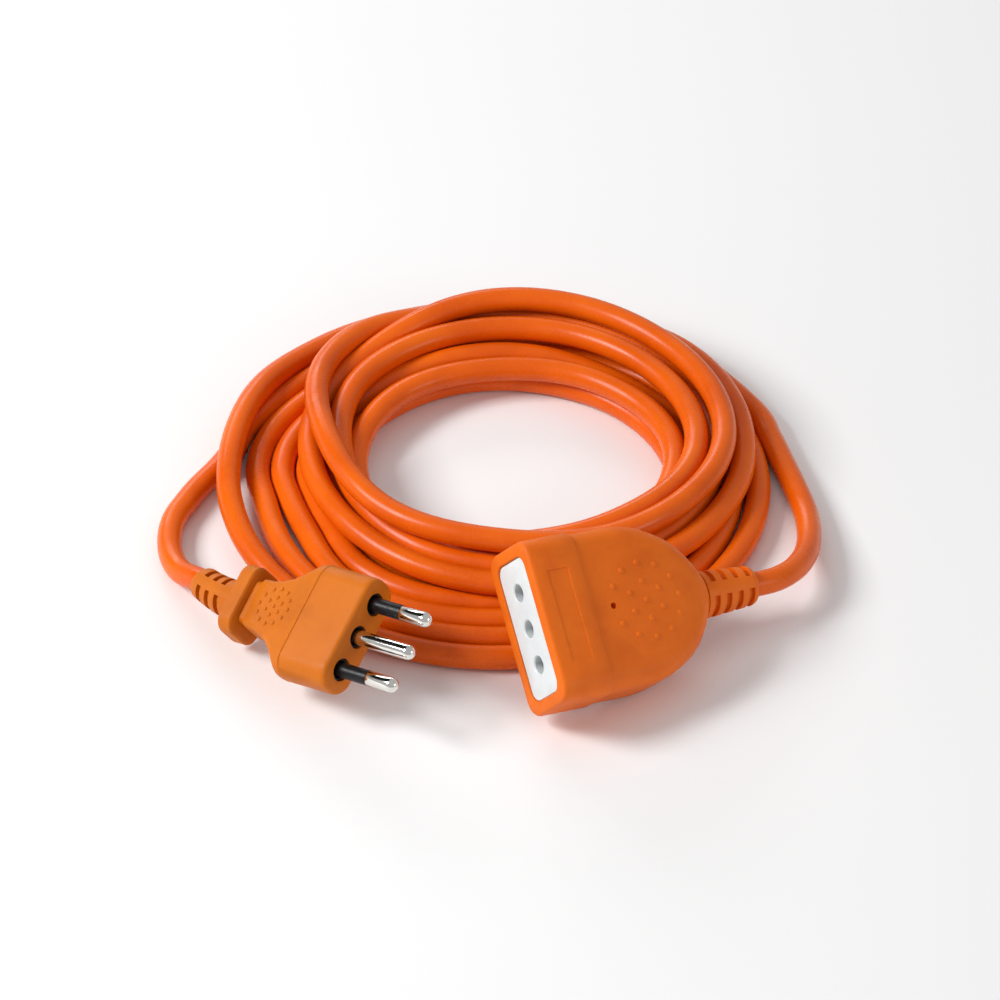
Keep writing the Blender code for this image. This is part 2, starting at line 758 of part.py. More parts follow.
def main():
    clear_scene()
    parts = new_collection("extension_lead")
    cutters = new_collection("cutters", hidden=True)
    looks = {
        "plug": material("orange_plug_pvc", (0.83, 0.21, 0.03), 0.5),
        "socket": material("orange_socket_pvc", (0.72, 0.17, 0.025), 0.5),
        "cord": material("orange_cord_pvc", (0.70, 0.13, 0.015), 0.35),
        "carrier": material("black_carrier", (0.012, 0.012, 0.014), 0.45),
        "sleeve": material("black_sleeve", (0.015, 0.015, 0.017), 0.4),
        "pin": material("nickel_plated_brass", (0.66, 0.65, 0.63), 0.18, 1.0),
        "insert": material("white_insert", (0.80, 0.81, 0.80), 0.4),
        "block": material("grey_block", (0.62, 0.62, 0.60), 0.5),
        "shutter": material("grey_shutter", (0.30, 0.31, 0.30), 0.5),
        "spring": material("spring_steel", (0.55, 0.55, 0.55), 0.3, 1.0),
        "contact": material("contact_brass", (0.72, 0.52, 0.22), 0.3, 1.0),
        "copper": material("bare_copper", (0.75, 0.35, 0.20), 0.35, 1.0),
        "core_line": material("brown_core", (0.16, 0.06, 0.025), 0.45),
        "core_earth": material("green_yellow_core", (0.35, 0.50, 0.04), 0.45),
        "core_neutral": material("blue_core", (0.03, 0.16, 0.55), 0.45),
    }
    root = bpy.data.objects.new("lead_frame", None)
    root.location = COIL_CENTRE
    parts.objects.link(root)
    plug = frame_empty("plug_frame", PLUG_FACE, PLUG_NOSE_UP, PLUG_ROLL, PLUG_HEADING, root, parts)
    socket = frame_empty(
        "connector_frame", SOCKET_FACE, SOCKET_NOSE_UP, SOCKET_ROLL, SOCKET_HEADING, root, parts
    )
    build_plug(looks, plug, parts, cutters)
    build_socket(looks, socket, parts, cutters)
    build_coil(looks, root, parts)
    build_leads(looks, root, plug, socket, parts)


main()
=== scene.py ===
"""The extension lead as finished pieces: a loose coil of orange cord, a plug with three pins and a socket.

Finished pieces are in metres in the frame of the CAD model, and the numbers below are in mm unless a comment
says otherwise. The plug and the socket are each modelled in a frame of their own, with X out of the mating face,
Y along the row of pins or holes and Z square to the broad side, and then moved into place.
"""

import math
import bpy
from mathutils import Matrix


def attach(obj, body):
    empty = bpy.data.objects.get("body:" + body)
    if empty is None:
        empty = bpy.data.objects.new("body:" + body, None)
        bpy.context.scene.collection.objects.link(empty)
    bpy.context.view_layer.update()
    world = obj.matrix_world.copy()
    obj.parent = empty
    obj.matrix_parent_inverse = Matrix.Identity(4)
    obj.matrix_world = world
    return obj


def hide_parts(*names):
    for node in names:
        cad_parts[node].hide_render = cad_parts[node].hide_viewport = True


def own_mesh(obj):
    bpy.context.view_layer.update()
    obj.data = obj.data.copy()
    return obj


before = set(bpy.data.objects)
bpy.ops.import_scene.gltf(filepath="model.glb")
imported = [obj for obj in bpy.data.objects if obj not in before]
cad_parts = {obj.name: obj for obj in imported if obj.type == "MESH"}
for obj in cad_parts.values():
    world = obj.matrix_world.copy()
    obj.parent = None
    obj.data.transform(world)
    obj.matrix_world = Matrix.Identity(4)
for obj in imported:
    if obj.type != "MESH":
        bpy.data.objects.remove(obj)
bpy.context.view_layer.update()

import bmesh
import bpy
import numpy as np
from mathutils import Euler, Matrix, Vector

MM = 0.001
NAMES = ("line", "earth", "neutral")
PIN_ROW = (9.5, 0.0, -9.5)

COIL_MIDDLE = Vector((0.98, 15.71, 0.0)) * MM
# In metres.
CORD_DIAMETER = 6.4 * MM

CAMERA_LENS, CAMERA_SENSOR = 416.0, 36.0
CAMERA_AIM = COIL_MIDDLE + Vector((1.82, -5.25, 0.0)) * MM
# In metres from there.
CAMERA_DISTANCE = 3.0
CAMERA_TILT = math.radians(40.0)


def frame_at(face, roll, nose_up, heading):
    """The frame of an end whose mating face is there, in mm from the coil's middle, turned by degrees."""
    turn = Euler((math.radians(roll), -math.radians(nose_up), math.radians(heading)), "XYZ")
    return Matrix.Translation(COIL_MIDDLE + Vector(face) * MM) @ turn.to_matrix().to_4x4()


PLUG = frame_at((-34.05, -83.9, 20.55), 31.8, 14.2, -39.8)
SOCKET = frame_at((8.67, -85.03, 24.1), -39.5, 10.0, -151.7)

# Where the strain reliefs start and stop along X, and where the cord starts in each end. The plug's relief
# bends with the cord.
PLUG_RELIEF_START, PLUG_RELIEF_LENGTH, PLUG_RELIEF_BEND = -40.5, 15.5, math.radians(19)
SOCKET_RELIEF_START, SOCKET_RELIEF_END = -50.3, -66.0
PLUG_CORD_START, SOCKET_CORD_START = -36.2, -45.5


# ---------------------------------------------------------------- camera


def set_camera():
    camera_data = bpy.data.cameras.new("studio_camera")
    camera_data.lens = CAMERA_LENS
    camera_data.sensor_width = CAMERA_SENSOR
    camera_data.clip_start, camera_data.clip_end = 0.5, 12.0
    camera = bpy.data.objects.new("studio_camera", camera_data)
    bpy.context.scene.collection.objects.link(camera)
    back = Vector((0.0, -math.cos(CAMERA_TILT), math.sin(CAMERA_TILT)))
    camera.location = CAMERA_AIM + CAMERA_DISTANCE * back
    camera.rotation_euler = (math.pi / 2 - CAMERA_TILT, 0.0, 0.0)
    bpy.context.scene.camera = camera


# ---------------------------------------------------------------- the cord's way


def relief_bend(distance):
    """The middle of the plug's strain relief, that far along it from its start, in the plug's frame."""
    radius = PLUG_RELIEF_LENGTH / PLUG_RELIEF_BEND
    turned = distance / radius
    return Vector((PLUG_RELIEF_START - radius * math.sin(turned), radius * (1 - math.cos(turned)), 0.0))


def from_middle(matrix, point):
    """A point in mm in a plug or socket frame, as mm from the coil's middle."""
    return tuple((matrix @ (Vector(point) * MM) - COIL_MIDDLE) / MM)


SOCKET_LEAD = [from_middle(SOCKET, (x, 0, 0)) for x in (SOCKET_CORD_START, -56.0, SOCKET_RELIEF_END)] + [
    (72.4, -50.4, 11.4),
    (77.4, -43.8, 9.4),
    (80.6, -34.5, 6.8),
    (81.6, -24.5, 4.7),
    (80.9, -14.5, 3.5),
    (78.6, -5.0, 3.25),
    (75.6, 5.0, 3.2),
    (72.2, 16.0, 3.2),
    (67.8, 27.0, 3.2),
]
PLUG_LEAD = [
    (-62.3, 22.0, 3.2),
    (-67.0, 11.5, 3.2),
    (-71.5, 3.2, 3.2),
    (-76.0, -3.6, 3.2),
    (-79.6, -10.2, 3.2),
    (-82.6, -17.2, 3.2),
    (-83.5, -24.6, 3.2),
    (-82.8, -32.0, 3.4),
    (-80.0, -39.6, 4.6),
] + [
    from_middle(PLUG, relief_bend(PLUG_RELIEF_LENGTH)),
    from_middle(PLUG, relief_bend(8.0)),
    from_middle(PLUG, relief_bend(0.0)),
    from_middle(PLUG, (PLUG_CORD_START, 0, 0)),
]

# One row for each turn, from the socket's end of the cord to the plug's end. Each pair is how far the cord lies
# from the coil's middle and how high: at 0, 45, 90 and 135 degrees round from +X, then at 180, 225, 270 and 315.
LOW = 3.2
TURNS = (
    (None, (70.8, LOW), (68.6, LOW), (67.0, 5.2),
     (68.2, 9.5), (70.2, 5.2), (71.6, LOW), (70.6, LOW)),
    ((68.8, LOW), (64.0, LOW), (55.5, LOW), (58.0, LOW),
     (61.0, LOW), (62.6, LOW), (64.2, LOW), (63.6, LOW)),
    ((61.8, LOW), (57.0, LOW), (48.7, LOW), (51.2, LOW),
     (54.4, LOW), (56.0, LOW), (57.2, LOW), (56.7, LOW)),
    ((55.0, LOW), (50.0, 4.2), (44.0, 8.0), (44.4, 6.2),
     (47.4, LOW), (49.0, LOW), (50.4, LOW), (49.9, LOW)),
    ((48.0, LOW), (43.8, LOW), (41.0, LOW), (40.4, LOW),
     (41.8, LOW), (42.6, LOW), (43.6, LOW), (43.9, 6.2)),
    ((47.6, 9.4), (42.5, 9.4), (37.6, 9.0), (37.0, 8.6),
     (36.8, 7.0), (35.8, 5.4), (35.2, 11.4), (44.4, 15.8)),
    ((52.7, 15.2), (51.8, 14.8), (50.5, 12.8), (46.2, 11.8),
     (39.0, 11.4), (38.4, 9.4), (42.5, 9.4), (51.5, 9.6)),
    ((57.6, 9.4), (59.8, 9.1), (60.0, 9.2), (56.0, 13.8),
     (42.8, 17.8), (38.6, 16.6), (39.9, 17.0), (50.0, 16.6)),
    ((59.7, 16.0), (60.2, 15.8), (58.6, 15.9), (53.2, 10.6),
     (47.2, 9.4), (45.0, 9.4), (49.3, 9.6), (57.5, 9.6)),
    ((65.0, 9.4), (66.6, 8.8), (62.0, 3.8), (60.5, LOW),
     None, None, None, None),
)
# Places between those angles where a turn is pressed in or eased out: (turn, angle, distance, height).
EASED = (
    (0, 187, 69.0, 9.0),
    (0, 202.5, 69.8, 7.0),
    (1, 190, 59.8, LOW),
    (1, 205, 60.8, LOW),
    (2, 190, 52.4, LOW),
    (2, 205, 51.8, LOW),
    (3, 190, 45.8, LOW),
    (3, 205, 45.2, LOW),
)
# How the turns settle: points along the cord are a STEP apart, and two points nearer than NEIGHBOURS along it
# don't push on each other. The turns sink less in the last GENTLE_ROUNDS, and HELD points at each end don't move.
STEP = 4.0
NEIGHBOURS = 3.0 * CORD_DIAMETER / MM
TOUCHING = CORD_DIAMETER / MM + 0.1
ROUNDS, GENTLE_ROUNDS = 160, 60
SINK, GENTLE_SINK = 0.04, 0.02
HELD = 16


def evenly(points, spacing):
    """A smooth line through the points, with a point every so many mm."""
    points = np.array(points, float)
    ends = np.vstack([2 * points[0] - points[1], points, 2 * points[-1] - points[-2]])
    t = np.linspace(0, 1, 24, endpoint=False)[:, None]
    fine = []
    for before, start, stop, after in zip(ends[:-3], ends[1:-2], ends[2:-1], ends[3:]):
        fine.append(
            0.5
            * (
                2 * start
                + (stop - before) * t
                + (2 * before - 5 * start + 4 * stop - after) * t**2
                + (3 * start - before - 3 * stop + after) * t**3
            )
        )
    fine = np.vstack([*fine, points[-1:]])
    along = np.concatenate([[0], np.cumsum(np.linalg.norm(np.diff(fine, axis=0), axis=1))])
    wanted = np.linspace(0, along[-1], max(2, round(along[-1] / spacing)) + 1)
    return np.stack([np.interp(wanted, along, fine[:, k]) for k in range(3)], 1)


def flowing(angles, values, wanted):
    """Values between the given ones, with no corner at them."""
    slope = np.gradient(values, angles)
    i = np.clip(np.searchsorted(angles, wanted) - 1, 0, len(angles) - 2)
    h = angles[i + 1] - angles[i]
    t = (wanted - angles[i]) / h
    return (
        (2 * t**3 - 3 * t**2 + 1) * values[i]
        + (t**3 - 2 * t**2 + t) * h * slope[i]
        + (-2 * t**3 + 3 * t**2) * values[i + 1]
        + (t**3 - t**2) * h * slope[i + 1]
    )


def wound():
    """The cord's line before it has settled: the socket's lead, the turns, the plug's lead."""
    knots = []
    for turn, row in enumerate(TURNS):
        knots += [(turn * 360 + k * 45, *pair) for k, pair in enumerate(row) if pair]
    knots += [(turn * 360 + angle, distance, height) for turn, angle, distance, height in EASED]
    angles, distances, heights = np.array(sorted(knots), float).T
    wanted = np.arange(angles[0], angles[-1] + 0.1, 9.0)
    distance, height = flowing(angles, distances, wanted), flowing(angles, heights, wanted)
    a = np.radians(wanted)
    turns = np.stack([distance * np.cos(a), distance * np.sin(a), height], 1)
    return evenly(np.vstack([SOCKET_LEAD, turns, PLUG_LEAD]), STEP)


def settled(line):
    """The turns sink, push one another apart to about a diameter, and stay near where they were wound."""
    start, index = line.copy(), np.arange(len(line))
    apart = np.abs(index[:, None] - index[None, :]) * STEP > NEIGHBOURS
    for number in range(ROUNDS):
        now = line.copy()
        now[:, 2] -= SINK if number < ROUNDS - GENTLE_ROUNDS else GENTLE_SINK
        gap = now[:, None, :] - now[None, :, :]
        distance = np.sqrt((gap**2).sum(2)) + 1e-9
        short = np.where(apart & (distance < TOUCHING), TOUCHING - distance, 0)
        touching = np.maximum((short > 0).sum(1), 1)
        push = (gap / distance[:, :, None] * short[:, :, None]).sum(1)
        now += 0.5 * push / np.maximum(1, touching * 0.6)[:, None]
        now[:, :2] += 0.04 * (start[:, :2] - now[:, :2])
        now[:, 2] += 0.02 * (start[:, 2] - now[:, 2])
        moved = now - start
        for _ in range(3):
            moved[1:-1] += 0.35 * (0.5 * (moved[2:] + moved[:-2]) - moved[1:-1])
        now = start + moved
        now[:, 2] = np.maximum(now[:, 2], CORD_DIAMETER / MM / 2)
        now[:HELD], now[-HELD:] = start[:HELD], start[-HELD:]
        line = now
    return line


def make_cord():
    line = evenly(settled(wound()), 2.2)
    points = [COIL_MIDDLE + Vector(p) * MM for p in line.tolist()]
    data = bpy.data.curves.new("cord", "CURVE")
    data.dimensions = "3D"
    data.resolution_u = 1
    data.bevel_depth = CORD_DIAMETER / 2
    data.bevel_resolution = 6
    data.use_fill_caps = True
    spline = data.splines.new("POLY")
    spline.points.add(len(points) - 1)
    for knot, point in zip(spline.points, points):
        knot.co = (*point, 1.0)
    spline.use_smooth = True
    cord = bpy.data.objects.new("cord", data)
    bpy.context.scene.collection.objects.link(cord)
    return cord


# ---------------------------------------------------------------- making solids


def mark_sharp(bm, degrees):
    """Edges that turn by more than that, and open ones, are drawn sharp."""
    for edge in bm.edges:
        edge.smooth = len(edge.link_faces) == 2 and edge.calc_face_angle(0.0) < math.radians(degrees)


def new_piece(name, bm, matrix, look, sharp=35.0, bevel=None):
    """Closes off a mesh, turns its faces outwards, marks its sharp edges and puts it in its place."""
    bmesh.ops.remove_doubles(bm, verts=bm.verts, dist=1e-6)
    bmesh.ops.recalc_face_normals(bm, faces=bm.faces)
    bm.transform(matrix)
    for face in bm.faces:
        face.smooth = True
    mark_sharp(bm, sharp)
    mesh = bpy.data.meshes.new(name)
    bm.to_mesh(mesh)
    bm.free()
    mesh.materials.append(look)
    piece = bpy.data.objects.new(name, mesh)
    bpy.context.scene.collection.objects.link(piece)
    if bevel:
        soften = piece.modifiers.new("soft_edges", "BEVEL")
        soften.width, soften.segments, soften.limit_method = bevel * MM, 2, "ANGLE"
        soften.angle_limit = math.radians(38)
        soften.harden_normals = True
    return piece


def outline(bm, x, half_width, half_thickness, corner, steps=6):
    """A rounded rectangle square to X, as a closed ring of edges."""
    grid = bmesh.ops.create_grid(bm, x_segments=1, y_segments=1, size=1.0)
    corners = grid["verts"]
    reach = max(v.co.x for v in corners)
    for v in corners:
        v.co = Vector((x, v.co.x / reach * half_width, v.co.y / reach * half_thickness)) * MM
    corner = min(corner, half_width * 0.985, half_thickness * 0.985)
    made = bmesh.ops.bevel(
        bm,
        geom=corners,
        offset=corner * MM,
        offset_type="OFFSET",
        segments=steps,
        profile=0.5,
        affect="VERTICES",
        clamp_overlap=False,
        material=-1,
    )
    face = next(f for v in made["verts"] for f in v.link_faces)
    edges = list(face.edges)
    bmesh.ops.delete(bm, geom=[face], context="FACES_ONLY")
    return edges


def loft(bm, sections, steps=6):
    """A closed skin over rounded sections in turn, each (x, half width, half thickness, corner)."""
    rings = [outline(bm, *section, steps) for section in sections]
    for one, other in zip(rings, rings[1:]):
        bmesh.ops.bridge_loops(bm, edges=one + other)
    for ring in (rings[0], rings[-1]):
        bmesh.ops.contextual_create(bm, geom=ring)


def spun(bm, profile, steps, y):
    """A turned shape about a line along X at that y: the profile is (x, radius) pairs."""
    chain = [bm.verts.new(Vector((x, y + radius, 0.0)) * MM) for x, radius in profile]
    edges = [bm.edges.new(pair) for pair in zip(chain, chain[1:])]
    bmesh.ops.spin(
        bm,
        geom=chain + edges,
        cent=Vector((0, y, 0)) * MM,
        axis=(1, 0, 0),
        angle=2 * math.pi,
        steps=steps,
        use_merge=True,
    )
    bmesh.ops.remove_doubles(bm, verts=bm.verts, dist=1e-6)


def dome(bm, x, y, z, radius, height, up):
    """A low round dot, half sunk in a broad side."""
    made = bmesh.ops.create_uvsphere(bm, u_segments=12, v_segments=6, radius=radius * MM)
    for v in made["verts"]:
        v.co = Vector((v.co.x, v.co.y, v.co.z * height / radius * up)) + Vector((x, y, z)) * MM


def cut_away(piece, cutter_mesh):
    """Takes the cutter out of the piece for good."""
    cutter = bpy.data.objects.new("cutter", cutter_mesh)
    bpy.context.scene.collection.objects.link(cutter)
    modifier = piece.modifiers.new("cut", "BOOLEAN")
    modifier.object, modifier.operation, modifier.solver = cutter, "DIFFERENCE", "EXACT"
    graph = bpy.context.evaluated_depsgraph_get()
    cut = bpy.data.meshes.new_from_object(piece.evaluated_get(graph))
    piece.modifiers.clear()
    old, piece.data = piece.data, cut
    cut.name = piece.name
    bpy.data.meshes.remove(old)
    bpy.data.objects.remove(cutter)
    bm = bmesh.new()
    bm.from_mesh(cut)
    mark_sharp(bm, 35)
    bm.to_mesh(cut)
    bm.free()


def as_tool(bm, matrix):
    """The mesh of a cutter, with its faces outwards and in its place."""
    bmesh.ops.recalc_face_normals(bm, faces=bm.faces)
    bm.transform(matrix)
    mesh = bpy.data.meshes.new("tool")
    bm.to_mesh(mesh)
    bm.free()
    return mesh


def row_of_drills(matrix, profile):
    """A mesh of three turned cutters, one on the line of each pin or hole."""
    bm = bmesh.new()
    for y in PIN_ROW:
        spun(bm, profile, 28, y)
    return as_tool(bm, matrix)


# ---------------------------------------------------------------- looks


class Finish:
    """A material's node tree, with short words for what the looks below are made of."""

    def __init__(self, name):
        self.material = bpy.data.materials.new(name)
        self.material.use_nodes = True
        self.tree = self.material.node_tree
        self.shader = self.tree.nodes["Principled BSDF"]
        self.place = self.tree.nodes.new("ShaderNodeTexCoord").outputs["Object"]

    def link(self, source, socket):
        self.tree.links.new(source, socket)

    def noise(self, scale, detail=2.0, roughness=0.5, distortion=0.0):
        node = self.tree.nodes.new("ShaderNodeTexNoise")
        node.inputs["Scale"].default_value = scale
        node.inputs["Detail"].default_value = detail
        node.inputs["Roughness"].default_value = roughness
        node.inputs["Distortion"].default_value = distortion
        self.link(self.place, node.inputs["Vector"])
        return node.outputs["Fac"]

    def ramp(self, value, *stops):
        node = self.tree.nodes.new("ShaderNodeValToRGB")
        ramp = node.color_ramp
        while len(ramp.elements) < len(stops):
            ramp.elements.new(0.5)
        for element, (position, colour) in zip(ramp.elements, stops):
            element.position, element.color = position, (*colour, 1.0)
        self.link(value, node.inputs["Fac"])
        return node.outputs["Color"]

    def between(self, value, low, high):
        """A noise, most of which lies from 0.3 to 0.7, stretched to run from low to high."""
        node = self.tree.nodes.new("ShaderNodeMapRange")
        node.inputs["From Min"].default_value = 0.3
        node.inputs["From Max"].default_value = 0.7
        node.inputs["To Min"].default_value = low
        node.inputs["To Max"].default_value = high
        self.link(value, node.inputs["Value"])
        return node.outputs["Result"]

    def times(self, value, factor):
        node = self.tree.nodes.new("ShaderNodeMath")
        node.operation = "MULTIPLY"
        self.link(value, node.inputs[0])
        node.inputs[1].default_value = factor
        return node.outputs["Value"]

    def plus(self, one, other):
        node = self.tree.nodes.new("ShaderNodeMath")
        node.operation = "ADD"
        self.link(one, node.inputs[0])
        self.link(other, node.inputs[1])
        return node.outputs["Value"]

    def bump(self, height, strength, distance):
        node = self.tree.nodes.new("ShaderNodeBump")
        node.inputs["Strength"].default_value = strength
        node.inputs["Distance"].default_value = distance
        self.link(height, node.inputs["Height"])
        self.link(node.outputs["Normal"], self.shader.inputs["Normal"])

    def set(self, **values):
        for name, value in values.items():
            self.shader.inputs[name.replace("_", " ")].default_value = value

    def colour(self, source):
        self.link(source, self.shader.inputs["Base Color"])

    def roughness(self, source):
        self.link(source, self.shader.inputs["Roughness"])


def orange_overmould(name, deep, middle, light, rough):
    """Soft PVC from a spark-eroded mould: a fine even pebble, clouded a little by the flow of the plastic."""
    look = Finish(name)
    cloud = look.noise(90, 4, 0.55, 0.4)
    pebble = look.noise(2600, 2, 0.6)
    mixed = look.plus(look.times(cloud, 0.82), look.times(pebble, 0.18))
    look.colour(look.ramp(mixed, (0.36, deep), (0.5, middle), (0.66, light)))
    look.roughness(look.between(look.noise(420, 3), rough - 0.05, rough + 0.07))
    look.bump(look.plus(pebble, look.times(look.noise(700, 2), 0.8)), 0.22, 0.00012)
    look.set(Specular_IOR_Level=0.25, Subsurface_Weight=0.05, Subsurface_Scale=0.0012)
    look.shader.inputs["Subsurface Radius"].default_value = (1.0, 0.35, 0.1)
    return look.material


def orange_jacket(name):
    """Extruded cord PVC: smoother and glossier than the ends, with a faint uneven swell."""
    look = Finish(name)
    cloud = look.noise(45, 3, 0.5, 0.3)
    streak = look.noise(900, 2, 0.6)
    mixed = look.plus(look.times(cloud, 0.85), look.times(streak, 0.15))
    deep, middle, light = (0.66, 0.09, 0.001), (0.75, 0.112, 0.002), (0.80, 0.134, 0.003)
    look.colour(look.ramp(mixed, (0.34, deep), (0.5, middle), (0.68, light)))
    look.roughness(look.between(look.noise(160, 3, 0.6), 0.24, 0.34))
    swell = look.noise(85, 1, 0.4)
    skin = look.times(look.noise(1500, 2, 0.5), 0.08)
    look.bump(look.plus(swell, skin), 0.25, 0.0012)
    look.set(Specular_IOR_Level=0.24)
    return look.material


def black_moulding(name, rough):
    look = Finish(name)
    dark, light = (0.004, 0.0042, 0.0055), (0.009, 0.0092, 0.011)
    look.colour(look.ramp(look.noise(500, 3), (0.35, dark), (0.7, light)))
    look.roughness(look.between(look.noise(900, 2), rough - 0.06, rough + 0.08))
    look.bump(look.noise(3000, 2), 0.12, 0.00008)
    look.set(Specular_IOR_Level=0.25)
    return look.material


def nickel_plate(name):
    """Bright nickel over turned brass: a faint grain and a trace of warmth."""
    look = Finish(name)
    warm, middle, pale = (0.70, 0.68, 0.62), (0.80, 0.79, 0.76), (0.84, 0.83, 0.81)
    look.colour(look.ramp(look.noise(260, 3), (0.3, warm), (0.55, middle), (0.75, pale)))
    look.roughness(look.between(look.noise(1200, 3), 0.07, 0.13))
    look.bump(look.noise(700, 2), 0.01, 0.00001)
    look.set(Metallic=1.0)
    return look.material


def white_moulding(name):
    look = Finish(name)
    shade, middle, pale = (0.66, 0.70, 0.71), (0.70, 0.735, 0.745), (0.73, 0.76, 0.77)
    look.colour(look.ramp(look.noise(240, 3), (0.3, shade), (0.55, middle), (0.75, pale)))
    look.roughness(look.between(look.noise(700, 2), 0.38, 0.5))
    look.bump(look.noise(2400, 2), 0.1, 0.00006)
    look.set(Subsurface_Weight=0.05, Subsurface_Scale=0.001)
    return look.material


def grey_moulding(name, dark, light):
    look = Finish(name)
    look.colour(look.ramp(look.noise(600, 3), (0.35, dark), (0.7, light)))
    look.roughness(look.between(look.noise(900, 2), 0.42, 0.55))
    look.bump(look.noise(2600, 2), 0.1, 0.00006)
    return look.material


def bright_metal(name, dark, light, rough, grain=1500):
    look = Finish(name)
    look.colour(look.ramp(look.noise(grain / 3, 3), (0.35, dark), (0.7, light)))
    look.roughness(look.between(look.noise(grain, 3), rough, rough + 0.12))
    look.bump(look.noise(grain * 2, 2), 0.1, 0.00003)
    look.set(Metallic=1.0)
    return look.material


def core_insulation(name, dark, light):
    look = Finish(name)
    look.colour(look.ramp(look.noise(350, 2), (0.35, dark), (0.7, light)))
    look.roughness(look.between(look.noise(900, 2), 0.3, 0.42))
    look.bump(look.noise(1800, 2), 0.08, 0.00005)
    return look.material


def striped_insulation(name):
    """Green with yellow stripes, as earth cores are."""
    look = Finish(name)
    stripes = look.tree.nodes.new("ShaderNodeTexWave")
    stripes.inputs["Scale"].default_value = 130
    stripes.inputs["Distortion"].default_value = 0.3
    look.link(look.place, stripes.inputs["Vector"])
    green, yellow = (0.06, 0.33, 0.03), (0.75, 0.6, 0.03)
    look.colour(look.ramp(stripes.outputs["Fac"], (0.48, green), (0.52, yellow)))
    look.roughness(look.between(look.noise(900, 2), 0.3, 0.42))
    return look.material


# ---------------------------------------------------------------- the two strain reliefs


RELIEF_SIDES = 48
# Where the cord goes in: how deep the bore is, and how much wider than the cord.
RELIEF_BORE_DEPTH, CORD_PLAY = 5.0, 0.12
# How far a slot runs round, in degrees each way from Y, and how far outside the bore the sleeve's skin begins.
SLOT_REACH, SLOT_WALL = 68, 0.6


def ribbed_relief(name, matrix, look, start, length, radii, slots, spigot, bent=None):
    """A tapering sleeve with cross slots down both sides and a rib left along each broad side. It is hollow from
    its mouth, where the cord goes in. radii is (at the start, at the mouth), slots is (first, pitch, width,
    depth, number) from the start, and spigot is the (radius, length) of the part hidden in the body."""
    first, pitch, width, depth, number = slots

    def radius_at(distance):
        return radii[0] + (radii[1] - radii[0]) * max(0.0, min(1.0, distance / length))

    stops = {0.0, 0.45, length - 1.3}
    gaps = []
    for k in range(number):
        middle = first + k * pitch
        gaps.append((middle - width / 2, middle + width / 2))
        stops |= {middle - width / 2, middle + width / 2}
    profile = [(-spigot[1], 0.0), (-spigot[1], spigot[0]), (0.0, spigot[0])]
    profile += [(stop, radius_at(stop)) for stop in sorted(stops)]
    end = radius_at(length)
    profile += [(length - 0.7, end - 0.12), (length - 0.25, end - 0.4), (length, end - 0.85)]
    bore = CORD_DIAMETER / MM / 2 + CORD_PLAY
    bottom = length - RELIEF_BORE_DEPTH
    profile += [(length, bore + 0.18), (length - 0.2, bore), (bottom, bore), (bottom, 0.0)]
    bm = bmesh.new()
    # The profile starts half a face round, so that faces and not edges look along Y.
    half_face = math.pi / RELIEF_SIDES
    across, up = math.cos(half_face), math.sin(half_face)
    chain = [bm.verts.new(Vector((start - x, r * across, r * up)) * MM) for x, r in profile]
    edges = [bm.edges.new(pair) for pair in zip(chain, chain[1:])]
    bmesh.ops.spin(
        bm,
        geom=chain + edges,
        cent=(0, 0, 0),
        axis=(1, 0, 0),
        angle=2 * math.pi,
        steps=RELIEF_SIDES,
        use_merge=True,
    )
    bmesh.ops.remove_doubles(bm, verts=bm.verts, dist=1e-6)
    bmesh.ops.recalc_face_normals(bm, faces=bm.faces)
    for low, high in gaps:
        for side in (1, -1):
            chosen = []
            for face in bm.faces:
                c = face.calc_center_median() / MM
                along = start - c.x
                out = math.hypot(c.y, c.z)
                if not low < along < high or out < bore + SLOT_WALL or c.y * side <= 0:
                    continue
                if abs(math.degrees(math.atan2(c.z, c.y * side))) < SLOT_REACH:
                    chosen.append(face)
            made = bmesh.ops.extrude_face_region(bm, geom=chosen)
            bmesh.ops.delete(bm, geom=chosen, context="FACES_ONLY")
            for v in (g for g in made["geom"] if isinstance(g, bmesh.types.BMVert)):
                out = math.hypot(v.co.y, v.co.z)
                scale = (out - depth * MM) / out
                v.co.y *= scale
                v.co.z *= scale
    if bent:
        for v in bm.verts:
            x, y, z = v.co / MM
            distance = start - x
            if distance > 0:
                middle = bent(distance)
                turned = distance * PLUG_RELIEF_BEND / PLUG_RELIEF_LENGTH
                v.co = (middle + Vector((y * math.sin(turned), y * math.cos(turned), z))) * MM
    return new_piece(name, bm, matrix, look, bevel=0.22)


# ---------------------------------------------------------------- plug


def dot_circles(middle, inner, outer):
    """Where the grip dots stand: one, then six round it, then twelve."""
    spots = [(middle, 0.0)]
    for count, radius in ((6, inner), (12, outer)):
        for k in range(count):
            a = 2 * math.pi * (k / count + 1 / 12)
            spots.append((middle + radius * math.cos(a), radius * math.sin(a)))
    return spots


